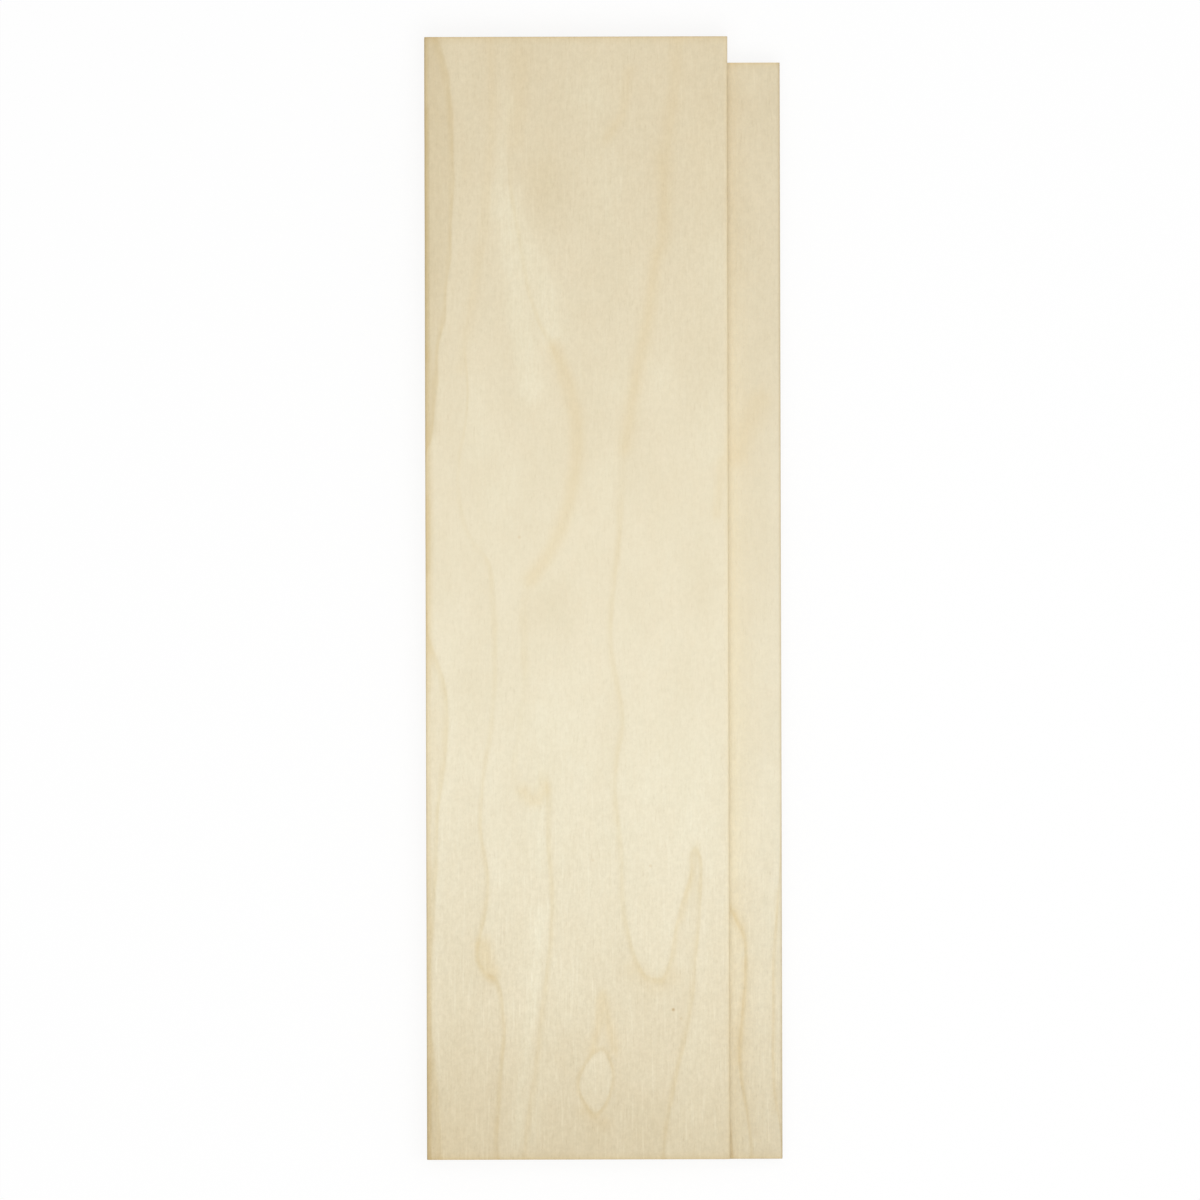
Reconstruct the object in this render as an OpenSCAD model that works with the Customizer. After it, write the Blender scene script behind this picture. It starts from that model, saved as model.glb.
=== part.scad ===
// Tongue and groove board: a short length of planed solid wood that lies on its back, face up.
// The tongue runs along the +X edge and the groove along the -X edge, both in the direction of Y.

/* [Board] */
// Length of the board
board_length = 300; // [150:1:3000]
// Width of the face, which is the width that a laid board covers
face_width = 81; // [60:0.5:200]
// Thickness from the back to the face
thickness = 15; // [13:0.5:28]
// Radius that eases the long edges of the face and the back
edge_ease = 0.6; // [0.2:0.1:1.5]

/* [Tongue] */
// How far the tongue stands out of the face edge
tongue_reach = 14; // [6:0.5:20]
// Thickness of the tongue
tongue_thickness = 5; // [4:0.1:6]
// Depth of the tongue's upper side below the face
face_lip = 5; // [3.5:0.1:6]
// Radius of the two corners of the tongue's nose
nose_radius = 1.2; // [0.3:0.1:1.8]
// Length over which the tongue is cut away at the +Y end
tongue_stop = 7; // [1:0.5:40]

/* [Groove] */
// Room between the tongue's nose and the bottom of the groove
nose_gap = 0.8; // [0.2:0.1:2]
// Room between the tongue and each side of the groove
side_gap = 0.15; // [0.05:0.05:0.4]
// Width of the chamfers that lead the tongue into the groove
lead_in = 0.6; // [0.2:0.1:1]
// How far the back lip stops short of the face lip, so that the joint closes on the face
back_lip_set = 0.6; // [0.1:0.1:2]

/* [Hidden] */
$fn = 48;

// Overshoot that carries each cut past the surface it opens
over = 1;

overall_width = face_width + tongue_reach;
groove_edge = -overall_width / 2;
shoulder = groove_edge + face_width;
tongue_top = thickness - face_lip;
tongue_bottom = tongue_top - tongue_thickness;
groove_depth = tongue_reach + nose_gap;
groove_top = tongue_top + side_gap;
groove_bottom = tongue_bottom - side_gap;
back_lip_edge = groove_edge + back_lip_set;

// What is cut off a square corner to round it, for a corner at the origin whose solid lies in +X +Y
module round_cut(radius) {
    difference() {
        translate([-over, -over]) square(radius + over);
        translate([radius, radius]) circle(radius);
    }
}

// Blank with its tongue, before the groove is ploughed
module blank_section() {
    translate([groove_edge, 0]) square([face_width, thickness]);
    translate([shoulder - over, tongue_bottom]) square([tongue_reach + over, tongue_thickness]);
}

// Groove that takes the tongue of the next board, with a chamfer on each lip
module groove_section() {
    translate([groove_edge - over, groove_bottom])
        square([groove_depth + over, groove_top - groove_bottom]);
    polygon([
        [groove_edge - over, groove_top + lead_in + over],
        [groove_edge + lead_in, groove_top],
        [groove_edge - over, groove_top]
    ]);
    polygon([
        [back_lip_edge - over, groove_bottom - lead_in - over],
        [back_lip_edge + lead_in, groove_bottom],
        [back_lip_edge - over, groove_bottom]
    ]);
    translate([groove_edge - over, -over])
        square([back_lip_set + over, groove_top + over]);
}

// Rounding of the four long edges and of the tongue's nose
module eased_edges() {
    translate([groove_edge, thickness]) rotate(-90) round_cut(edge_ease);
    translate([shoulder, thickness]) rotate(180) round_cut(edge_ease);
    translate([back_lip_edge, 0]) round_cut(edge_ease);
    translate([shoulder, 0]) rotate(90) round_cut(edge_ease);
    translate([shoulder + tongue_reach, tongue_top]) rotate(180) round_cut(nose_radius);
    translate([shoulder + tongue_reach, tongue_bottom]) rotate(90) round_cut(nose_radius);
}

// Cross-section of the board in X and Z
module board_section() {
    difference() {
        blank_section();
        groove_section();
        eased_edges();
    }
}

// Square cut that stops the tongue short of the +Y end, flush with the face edge
module tongue_stop_cut() {
    translate([shoulder, board_length / 2 - tongue_stop, -over])
        cube([tongue_reach + over, tongue_stop + over, thickness + 2 * over]);
}

module board() {
    color("wheat")
    difference() {
        translate([0, board_length / 2, 0]) rotate([90, 0, 0])
            linear_extrude(board_length) board_section();
        tongue_stop_cut();
    }
}

board();
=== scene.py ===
"""Visual model of a tongue and groove board: one length of pale planed wood that lies face up.

The board is swept from its own section. Every point of it carries the growth ring that it lies in, so that
the face, the edges, the tongue, the groove and the sawn ends all show one piece of wood.
"""

import logging
import math
from dataclasses import dataclass, field
from enum import Enum

import bmesh
import bpy
import numpy as np
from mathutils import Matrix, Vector, noise

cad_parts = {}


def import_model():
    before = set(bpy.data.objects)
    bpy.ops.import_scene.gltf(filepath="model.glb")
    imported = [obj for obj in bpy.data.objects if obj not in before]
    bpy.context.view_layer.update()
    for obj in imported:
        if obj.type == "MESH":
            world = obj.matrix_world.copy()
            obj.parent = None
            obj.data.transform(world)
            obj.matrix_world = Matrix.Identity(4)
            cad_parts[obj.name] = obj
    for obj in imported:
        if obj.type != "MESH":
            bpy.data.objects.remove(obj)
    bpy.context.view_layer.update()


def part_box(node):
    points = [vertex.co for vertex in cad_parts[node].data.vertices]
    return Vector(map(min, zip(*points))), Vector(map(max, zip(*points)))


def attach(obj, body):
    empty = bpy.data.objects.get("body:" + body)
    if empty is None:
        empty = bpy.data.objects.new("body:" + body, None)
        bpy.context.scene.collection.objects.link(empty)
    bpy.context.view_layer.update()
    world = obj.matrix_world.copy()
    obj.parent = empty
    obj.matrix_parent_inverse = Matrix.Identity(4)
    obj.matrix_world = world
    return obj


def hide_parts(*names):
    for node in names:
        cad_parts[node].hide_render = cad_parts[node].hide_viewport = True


log = logging.getLogger("board")

MM = 0.001
PIECE = "planed_board"
NODE = "board"
BODY = "root"

# Distance in metres below which two points of the mesh are one
WELD = 1e-6
# Least squared distance that the growth field takes the logarithm of
NEAR_ZERO = 1e-9

# Colour sockets of Blender's Mix node
MIX_FACTOR = 0
MIX_FIRST = 6
MIX_SECOND = 7
MIX_RESULT = 2

Point = tuple[float, float]
Triple = tuple[float, float, float]
Colour = tuple[float, float, float, float]
Socket = bpy.types.NodeSocket
Outputs = bpy.types.bpy_prop_collection
Layer = tuple[Socket, Colour]

WHITE: Colour = (1.0, 1.0, 1.0, 1.0)


class Surface(Enum):
    """Kinds of surface on the board, each with the number of its material slot."""

    PLANED = 0
    MOULDED = 1
    SAWN = 2
    TONGUE = 3


class CornerCut(Enum):
    """What the moulding cutters do to a corner of the section, each with the number of its segments."""

    SHARP = 0
    LEAD_IN = 1
    EASED = 5
    NOSE = 6


class PaleSide(Enum):
    """The hand on which the pale new wood lies, for one who walks along a growth line."""

    LEFT = 1
    RIGHT = -1


@dataclass(frozen=True)
class GrowthLine:
    """A growth line that was followed on the board.

    Attributes:
        level: Number of the ring that starts at the line.
        pale_side: Hand on which that ring lies.
        ring_width: Width in millimetres that a whole ring would show on the surface here.
        bold: How strongly the line shows, from 0 to 1.
        points: Points of the line, in millimetres from the board's middle.
        depth: How deep below the face the line was seen.
        closed: Whether the line comes back to its first point.
    """

    level: float
    pale_side: PaleSide
    ring_width: float
    bold: float
    points: tuple[Point, ...]
    depth: float = 0.0
    closed: bool = False


@dataclass(frozen=True)
class CalmPoint:
    """A place between the growth lines, in millimetres, and its ring number at the face level."""

    x: float
    y: float
    ring: float


@dataclass(frozen=True)
class Streak:
    """A soft band of warmer, paler or darker wood along a few listed points, in millimetres."""

    half_width: float
    strength: float
    points: tuple[Point, ...]
    power: float = 2.0


@dataclass(frozen=True)
class Patch:
    """A soft oval patch of warmer, paler or darker wood, in millimetres from the board's middle."""

    x: float
    y: float
    half_width: float
    half_length: float
    strength: float


@dataclass(frozen=True)
class Fleck:
    """A tiny dark fleck on the face, in millimetres from the board's middle."""

    x: float
    y: float
    strength: float


@dataclass(frozen=True)
class Grain:
    """A cloud of noise, drawn out along the board.

    Attributes:
        across: Size of its grains across the board and through it, in millimetres.
        along: Size of its grains along the board.
        detail: Number of finer octaves.
        rough: Weight of the finer octaves.
        low: Noise below which the effect is at its least.
        high: Noise above which the effect is at its most.
    """

    across: float
    along: float
    detail: float = 2.0
    rough: float = 0.5
    low: float = 0.3
    high: float = 0.7


LEFT = PaleSide.LEFT
RIGHT = PaleSide.RIGHT

# Depth of the tongue below the face, and place of the groove edge across the board, in millimetres
TONGUE_DEPTH = 5.0
GROOVE_EDGE = -47.5

GROWTH_LINES = (
    # Lens of older wood along the groove edge
    GrowthLine(0.0, LEFT, 40.0, 0.8, (
        (-44.6, 150), (-41.6, 140), (-40.2, 127), (-40, 111), (-41, 90), (-42.5, 74), (-44.5, 58),
        (-46.5, 42))),
    GrowthLine(0.0, LEFT, 30.0, 0.7, (
        (-47, -11), (-43, -22), (-42, -34), (-43, -47), (-45, -71), (-46, -89))),
    GrowthLine(0.0, LEFT, 30.0, 0.6, ((-45.5, -127), (-44, -150))),
    # Line on the groove side, faint above, with a bend in the middle and a knuckle below
    GrowthLine(1.0, LEFT, 24.0, 0.1, ((-30, 150), (-29.5, 132), (-30.5, 114), (-34, 86), (-37, 70))),
    GrowthLine(1.0, LEFT, 24.0, 0.25, ((-38, 40), (-38.5, 27), (-35.5, 16), (-32.5, 12))),
    GrowthLine(1.0, LEFT, 24.0, 0.48, ((-31, 10), (-29.5, 1), (-29, -13), (-29.5, -29), (-32, -46))),
    GrowthLine(1.0, LEFT, 20.0, 0.8, (
        (-33, -62), (-31.2, -74), (-32, -85), (-33.5, -91), (-34, -96), (-32, -100), (-28.5, -103),
        (-27.2, -110), (-26.8, -116), (-27.6, -126), (-28.8, -150))),
    # Bulge, and the notch that it runs out in
    GrowthLine(1.0, RIGHT, 34.0, 0.0, ((-20.5, 150), (-21.5, 134), (-24.5, 124))),
    GrowthLine(1.0, RIGHT, 18.0, 0.4, (
        (-24.2, 107), (-22.2, 96), (-20.2, 84), (-17.2, 74), (-14.2, 68.5))),
    GrowthLine(1.0, RIGHT, 34.0, 0.1, (
        (-9.5, 59), (-6.5, 48), (-6.5, 39), (-8, 29), (-11.5, 18), (-16, 9), (-20, 4))),
    GrowthLine(1.0, RIGHT, 30.0, 0.18, (
        (-21.5, -27), (-22.5, -35), (-24, -43), (-23.5, -50), (-19.5, -52.5))),
    # Line down the middle to the end
    GrowthLine(1.0, RIGHT, 22.0, 0.6, ((-15, -51), (-15, -62), (-14.3, -74), (-14, -83), (-15, -98))),
    GrowthLine(1.0, RIGHT, 22.0, 0.48, ((-16.5, -109), (-18.3, -125), (-20.5, -139), (-21.8, -150))),
    # Long line that turns up again in a narrow peak
    GrowthLine(1.0, LEFT, 36.0, 0.1, (
        (21.5, 150), (20, 140), (17.5, 118), (15.5, 100), (12.5, 78), (10, 66), (8, 54), (5.5, 40))),
    GrowthLine(1.0, LEFT, 24.0, 0.55, (
        (4.5, 18), (2.5, 1), (2, -13), (4.5, -27), (5, -34), (3.5, -43), (3, -53), (4.5, -67), (5, -80))),
    GrowthLine(1.0, LEFT, 20.0, 0.7, (
        (7.5, -94), (10, -100), (13, -102), (16.5, -100.5), (18.8, -91), (21.5, -80), (23.4, -73),
        (25.1, -68), (25.8, -74), (25.2, -87), (23.8, -102), (22, -115), (19.5, -126), (17, -138),
        (15.5, -150))),
    # Leaf-shaped island of pale wood
    GrowthLine(1.0, LEFT, 16.0, 0.85, (
        (-1.4, -120.6), (-5.4, -125), (-7.2, -130), (-5.4, -134.8), (-1.2, -137.2), (1.4, -132.5),
        (2.3, -127), (1, -122.8)), closed=True),
    # Arrow and rim on the tongue
    GrowthLine(0.0, RIGHT, 12.0, 0.9, (
        (35, -86), (37.3, -91), (37.6, -97), (37.3, -105), (36.5, -114), (35.8, -123), (37.2, -133.5),
        (38.5, -142), (39, -150)), depth=TONGUE_DEPTH),
    GrowthLine(-1.0, RIGHT, 10.0, 0.6, (
        (46.5, -80), (45, -98), (45, -116), (45.5, -134)), depth=TONGUE_DEPTH),
)

CALM_POINTS = (
    # Tongue, down to its arrow
    *(CalmPoint(40, y, 0.85) for y in (145, 110, 70, 30, -10, -45)),
    CalmPoint(41, -70, 0.85),
    # Face beside the shoulder
    CalmPoint(31, 140, 1.2),
    *(CalmPoint(31, y, 1.22) for y in (90, 40, -10)),
    CalmPoint(31, -60, 1.2),
    *(CalmPoint(31, y, 1.25) for y in (-110, -145)),
)


def edge_band(half_width: float, strength: float, start: float, end: float, power: float = 5.0) -> Streak:
    """Makes a band along the groove edge, between two places along the board."""
    return Streak(half_width, strength, ((GROOVE_EDGE, start), (GROOVE_EDGE, end)), power)


WARM_STREAKS = (
    # Long line above the middle, and its start at the stopped end
    Streak(2.2, 0.3, ((20, 150), (19, 132), (17, 121), (16.8, 106))),
    Streak(1.9, 0.42, (
        (16, 118), (16.8, 103), (16, 94), (14.2, 91), (12.5, 76), (9.6, 62), (7.5, 50), (6, 40))),
    # Bulge
    Streak(2.1, 0.44, (
        (-13, 67), (-11, 62), (-8.5, 54), (-7, 46), (-7, 37), (-8.6, 28), (-11, 19), (-15, 11),
        (-19.5, 5)), power=2.6),
    # Groove edge
    edge_band(1.5, 0.35, 66, 46),
    edge_band(1.5, 0.5, 46, 26),
    edge_band(1.5, 0.85, 26, -8),
    edge_band(1.5, 0.7, -8, -24),
    edge_band(1.4, 0.45, -24, -150),
    # Upper half of the groove side and of the middle
    Streak(1.6, 0.22, (
        (-29.5, 150), (-29.2, 132), (-30.6, 114), (-32, 100), (-33.8, 86), (-36, 73), (-38, 61))),
    Streak(2.8, 0.28, ((-22, 146), (-22.2, 134), (-23.5, 122))),
    Streak(1.4, 0.34, ((7.2, 141), (5.4, 129), (1.1, 122.5))),
    # Knuckle low on the groove side
    Streak(2.2, 0.7, ((-32.4, -92.5), (-31.6, -97), (-30, -100.4)), power=2.6),
    # Peak and foot of the long line
    Streak(0.8, 0.25, ((25.1, -66), (24.3, -72), (22.6, -78), (20.6, -86))),
    Streak(2.6, 0.3, ((8, -99), (13.3, -104), (18.5, -101))),
    # Stem and foot of the leaf
    Streak(1.3, 0.6, ((-0.5, -106), (1.2, -114), (2.6, -121))),
    Streak(1.1, 0.6, ((-1.2, -107), (-1.6, -114), (-3.2, -121))),
    Streak(1.8, 0.35, ((-5.6, -137), (0, -140.5))),
    # Slanting streak across the shoulder
    Streak(3.0, 0.7, ((42, 53), (38.2, 45), (36, 38))),
    Streak(1.4, 0.35, ((32, 37), (31, 29), (30.5, 22))),
    # Notch, arrow and rim
    Streak(1.5, 0.5, ((-21.5, -51.5), (-20, -54), (-17.5, -54.5), (-15.5, -51))),
    Streak(1.4, 0.7, ((34.8, -85), (36.5, -88), (37.3, -93))),
    Streak(1.1, 0.7, ((37.5, -97), (37.2, -106), (36.4, -115), (35.9, -124))),
    Streak(0.8, 0.55, ((46.3, -79), (45.2, -98), (44.9, -118), (45.6, -137))),
)

WARM_PATCHES = (
    Patch(-16.3, 112, 5.0, 9.0, 0.12),
    Patch(27, 122, 4.5, 13.0, 0.14),
    Patch(-36.5, 114, 2.5, 12.0, 0.12),
    Patch(-42, -147, 9.0, 10.0, 0.25),
    Patch(-45.5, -38, 3.0, 14.0, 0.2),
)

PALE_STREAKS = (
    # Wedge beside the upper part of the bulge
    Streak(4.3, 1.0, ((-26, 106), (-23.5, 98), (-18, 87), (-15, 78), (-13.6, 71)), power=3.0),
    Streak(3.5, 0.9, ((-25, 100), (-23.4, 88), (-22.2, 76), (-20.6, 66), (-19, 55)), power=3.0),
    Streak(1.2, 0.6, ((-25.2, 135), (-26.2, 122), (-27.4, 110))),
    # Root of the tongue
    Streak(1.5, 0.5, ((35.5, 70), (35.5, -75))),
    # Fringe along the middle line
    Streak(2.6, 0.5, ((-17, -30), (-16, -44), (-17.5, -58), (-17, -72))),
    Streak(1.6, 0.8, ((-17, -84), (-18.4, -100), (-19.8, -112), (-21.8, -128), (-24, -146))),
    Streak(1.2, 0.6, ((-16.8, -124), (-18, -134), (-19.2, -145))),
    Streak(3.2, 0.35, ((-11.5, -48), (-11.5, -80), (-13.5, -110), (-15, -130))),
    # Beside the upper lens
    Streak(2.0, 0.15, ((-37, 148), (-35.5, 125))),
)

PALE_PATCHES = (
    # Face above the middle
    Patch(-3, 134, 6.0, 8.0, 0.7),
    Patch(0.5, 110, 5.0, 12.0, 0.65),
    Patch(30.5, 89, 3.0, 9.0, 0.7),
    Patch(15, 57, 5.0, 6.0, 0.5),
    Patch(3, 56, 5.0, 5.0, 0.4),
    Patch(28.5, 44, 4.5, 9.0, 0.5),
    Patch(0.5, 32, 3.0, 10.0, 0.4),
    Patch(-33, 44, 4.5, 12.0, 0.45),
    Patch(-27, 28, 6.0, 10.0, 0.45),
    # Face below the middle
    Patch(-15, -38, 6.0, 12.0, 0.35),
    Patch(22, -50, 8.0, 16.0, 0.5),
    Patch(1, -67, 7.0, 20.0, 0.42),
    Patch(26, -122, 3.0, 12.0, 0.2),
    Patch(-9, -40, 7.0, 16.0, 0.4),
    Patch(13, -46, 8.0, 14.0, 0.35),
    Patch(-8, -106, 6.0, 16.0, 0.4),
    # Tongue
    Patch(40.5, 140, 7.0, 5.0, 0.6),
    Patch(41, -98, 6.0, 20.0, 0.5),
    Patch(41, -132, 6.0, 22.0, 0.6),
)

DARK_STREAKS = (
    # Old wood of the upper lens
    Streak(5.8, 0.36, ((-48, 150), (-46.3, 126), (-46, 108), (-46.8, 85), (-49, 60)), power=3.0),
    Streak(4.0, 0.45, ((-48, 62), (-48, 46)), power=5.0),
    Streak(2.4, 0.35, ((-48, 48), (-48, 8)), power=4.0),
    # Groove edge
    edge_band(1.5, 0.75, 150, 128),
    edge_band(1.55, 1.0, 130, 64),
    edge_band(1.5, 0.75, 64, 44),
    edge_band(1.5, 0.5, 44, 8),
    edge_band(1.5, 0.2, 8, -72, power=2.0),
    edge_band(1.6, 0.4, -72, -98, power=4.0),
    edge_band(1.7, 0.5, -98, -124, power=4.0),
    edge_band(1.6, 0.8, -124, -150),
    # Groove corner of the foot
    Streak(5.0, 0.35, ((-49, -154), (-48, -134))),
    # Painted shade over the last few millimetres before the foot's end
    Streak(5.5, 0.14, ((-48, -153), (48, -153))),
    # Old wood between the shoulder and the arrow
    Streak(1.8, 0.2, ((35.2, -116), (36, -132), (37, -150))),
)

DARK_PATCHES = (
    Patch(-14.8, 111, 5.0, 9.6, 0.2),
    Patch(26, 1, 4.5, 7.0, 0.14),
    Patch(-15, -2, 6.0, 6.0, 0.14),
    Patch(16, 25, 3.5, 10.0, 0.1),
    Patch(41.5, 129, 2.5, 2.5, 0.15),
    Patch(-38, -125, 7.0, 20.0, 0.15),
    Patch(12, -118, 5.0, 12.0, 0.08),
    Patch(12, -140, 8.0, 9.0, 0.15),
    Patch(-2.6, -145, 6.0, 7.0, 0.17),
    Patch(-38, -28, 8.0, 12.0, 0.07),
)

FLECKS = (
    Fleck(18.4, -110.0, 1.0),
    Fleck(20.5, -112.4, 0.35),
    Fleck(12.4, -71.6, 0.4),
    Fleck(-3.0, -70.0, 0.25),
    Fleck(-22.4, 16.3, 0.35),
)

# Fine fibres: dark streaks, pale silky ones, short open pores and a soft speckle
FIBRES = {
    "Streak": Grain(0.65, 5.0, detail=3.0, rough=0.6),
    "Silk": Grain(0.55, 13.0, low=0.56, high=0.72),
    "Pores": Grain(0.26, 2.6, low=0.6, high=0.78),
    "Speckle": Grain(1.35, 1.7, rough=0.85, low=0.25, high=0.75),
}

# Soft clouds of colour
CLOUDS = {
    "Cloud": Grain(12.0, 28.0, rough=0.4),
    "Patches": Grain(3.2, 7.0, detail=3.0, rough=0.6),
    "Blush": Grain(4.0, 6.0, detail=3.0, rough=0.65),
}

# Share of the fibres and of the late wood in the relief
FIBRE_RELIEF = {"Streak": 0.35, "Pores": -0.5, "Speckle": 0.25}
LATE_RELIEF = 0.2


def path_distance(points: np.ndarray, path: np.ndarray) -> np.ndarray:
    """Measures how far points lie from a path of straight runs.

    Args:
        points: Points as rows of x and y.
        path: Points of the path as rows.

    Returns:
        Shortest distance of each point.
    """
    nearest = np.full(len(points), np.inf)
    for start, end in zip(path[:-1], path[1:]):
        run = end - start
        share = np.clip(((points - start) @ run) / (run @ run), 0.0, 1.0)
        nearest = np.minimum(nearest, np.linalg.norm(points - start - share[:, None] * run, axis=1))
    return nearest


@dataclass
class GrowthField:
    """Numbers the growth rings of the board from its given lines.

    Attributes:
        lines: Growth lines that the field has to follow.
        calm: Points that hold the field between the lines.
        pith_x: Where the tree's pith lies across the board.
        pith_depth: How far the pith lies below the face.
        ring_pitch: Thickness of a ring along the tree's radius.
        crest: Share of a ring between the darkest part of its line and its end.
        side_step: Distance to each side of a line at which its slope is set.
        along: Weight of distances along the grain, which changes slowly that way.
        ease: How far the field may leave a point in return for smoothness.
        bold_reach: Distance from a line at which its boldness starts to give way to that of others.
    """

    lines: tuple[GrowthLine, ...] = GROWTH_LINES
    calm: tuple[CalmPoint, ...] = CALM_POINTS
    pith_x: float = 2.0
    pith_depth: float = 36.0
    ring_pitch: float = 2.5
    crest: float = 0.04
    side_step: float = 0.8
    along: float = 0.45
    ease: float = 0.3
    bold_reach: float = 1.0
    _anchors: np.ndarray = field(init=False, repr=False)
    _weights: np.ndarray = field(init=False, repr=False)

    def __post_init__(self) -> None:
        """Solves the field once, when it is made."""
        places, values = self._constraints()
        self._anchors = self._stretch(places)
        self._weights = self._solve(values)

    def dip(self, x: np.ndarray, depth: float) -> np.ndarray:
        """Counts the rings between the face and a depth below it.

        Args:
            x: Places across the board.
            depth: Depth below the face.

        Returns:
            Number of rings, below zero because the rings get older towards the pith.
        """
        near = np.hypot(x - self.pith_x, self.pith_depth - depth)
        far = np.hypot(x - self.pith_x, self.pith_depth)
        return (near - far) / self.ring_pitch

    def at(self, places: np.ndarray, batch: int = 8000) -> np.ndarray:
        """Reads the field at the face level.

        Args:
            places: Points as rows of x and y in millimetres.
            batch: Points that are worked out at a time.

        Returns:
            Ring number at each point.
        """
        stretched = self._stretch(places)
        parts = []
        for first in range(0, len(stretched), batch):
            some = stretched[first:first + batch]
            plane = self._weights[-3] + some @ self._weights[-2:]
            parts.append(self._kernel(some, self._anchors) @ self._weights[:-3] + plane)
        return np.concatenate(parts)

    def boldness(self, places: np.ndarray) -> np.ndarray:
        """Reads how strongly the growth lines show.

        Args:
            places: Points as rows of x and y in millimetres.

        Returns:
            Strength at each point, drawn from the lines that lie nearest.
        """
        total = np.zeros(len(places))
        weight = np.zeros(len(places))
        for line in self.lines:
            distance = path_distance(places, np.array(line.points, float))
            share = 1.0 / (distance ** 2 + self.bold_reach ** 2)
            total += line.bold * share
            weight += share
        return total / weight

    def _stretch(self, places: np.ndarray) -> np.ndarray:
        """Brings distances along the grain to their own weight."""
        return places * np.array((1.0, self.along))

    def _constraints(self) -> tuple[np.ndarray, np.ndarray]:
        """Places three rows of ring numbers along each line, and one number at each calm point.

        Returns:
            Points as rows of x and y, and the ring number of each at the face level.
        """
        places = []
        values = []
        for line in self.lines:
            points = np.array(line.points, float)
            across = self._pale_direction(points, line)
            for side in (-1, 0, 1):
                step = side * self.side_step
                moved = points + across * step
                places.append(moved)
                ring = line.level - self.crest + step / line.ring_width
                values.append(ring - self.dip(moved[:, 0], line.depth))
        places.append(np.array([(point.x, point.y) for point in self.calm]))
        values.append(np.array([point.ring for point in self.calm]))
        return np.concatenate(places), np.concatenate(values)

    @staticmethod
    def _pale_direction(points: np.ndarray, line: GrowthLine) -> np.ndarray:
        """Finds the direction towards the pale wood at each point of a line.

        Args:
            points: Points of the line.
            line: The line itself.

        Returns:
            Unit vectors as rows of x and y.
        """
        if line.closed:
            run = np.roll(points, -1, axis=0) - np.roll(points, 1, axis=0)
        else:
            run = np.gradient(points, axis=0)
        run /= np.linalg.norm(run, axis=1)[:, None]
        return np.stack((-run[:, 1], run[:, 0]), axis=1) * line.pale_side.value

    @staticmethod
    def _kernel(first: np.ndarray, second: np.ndarray) -> np.ndarray:
        """Works out the thin-plate value between each two points.

        Args:
            first: Points as rows.
            second: Points as rows.

        Returns:
            One row for each of the first points.
        """
        squared = ((first[:, None, :] - second[None, :, :]) ** 2).sum(axis=-1)
        return 0.5 * squared * np.log(np.maximum(squared, NEAR_ZERO))

    def _solve(self, values: np.ndarray) -> np.ndarray:
        """Solves the thin-plate field through the anchors.

        Args:
            values: Ring number at each anchor.

        Returns:
            Weights of the anchors, then of the tilted plane below them.
        """
        count = len(self._anchors)
        kernel = self._kernel(self._anchors, self._anchors)
        kernel[np.diag_indices(count)] = self.ease
        plane = np.column_stack((np.ones(count), self._anchors))
        system = np.block([[kernel, plane], [plane.T, np.zeros((3, 3))]])
        return np.linalg.solve(system, np.concatenate((values, np.zeros(3))))


@dataclass(frozen=True)
class FaceTone:
    """Bands and patches of one tone that lie over the growth rings near the face.

    Attributes:
        streaks: Bands of the tone.
        patches: Patches of the tone.
        reach: Depth below the face over which the tone fades away.
    """

    streaks: tuple[Streak, ...]
    patches: tuple[Patch, ...]
    reach: float = 7.0

    def at(self, points: np.ndarray, depth: np.ndarray) -> np.ndarray:
        """Reads the tone.

        Args:
            points: Points as rows of x and y in millimetres.
            depth: Depth of each point below the face.

        Returns:
            Tone at each point, from 0 to 1.
        """
        tone = np.zeros(len(points))
        for streak in self.streaks:
            distance = path_distance(points, np.array(streak.points, float))
            fall = np.exp(-((distance / streak.half_width) ** streak.power))
            tone = np.maximum(tone, streak.strength * fall)
        for patch in self.patches:
            offset = (points - (patch.x, patch.y)) / (patch.half_width, patch.half_length)
            tone = np.maximum(tone, patch.strength * np.exp(-(offset ** 2).sum(axis=1)))
        return tone * np.sqrt(np.clip(1.0 - depth / self.reach, 0.0, 1.0))


# Warm late wood, bleached wood, and older, darker wood, with painted shade near the foot's end
FACE_TONES = {
    "warmth": FaceTone(WARM_STREAKS, WARM_PATCHES),
    "bleach": FaceTone(PALE_STREAKS, PALE_PATCHES),
    "shade": FaceTone(DARK_STREAKS, DARK_PATCHES),
}


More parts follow.
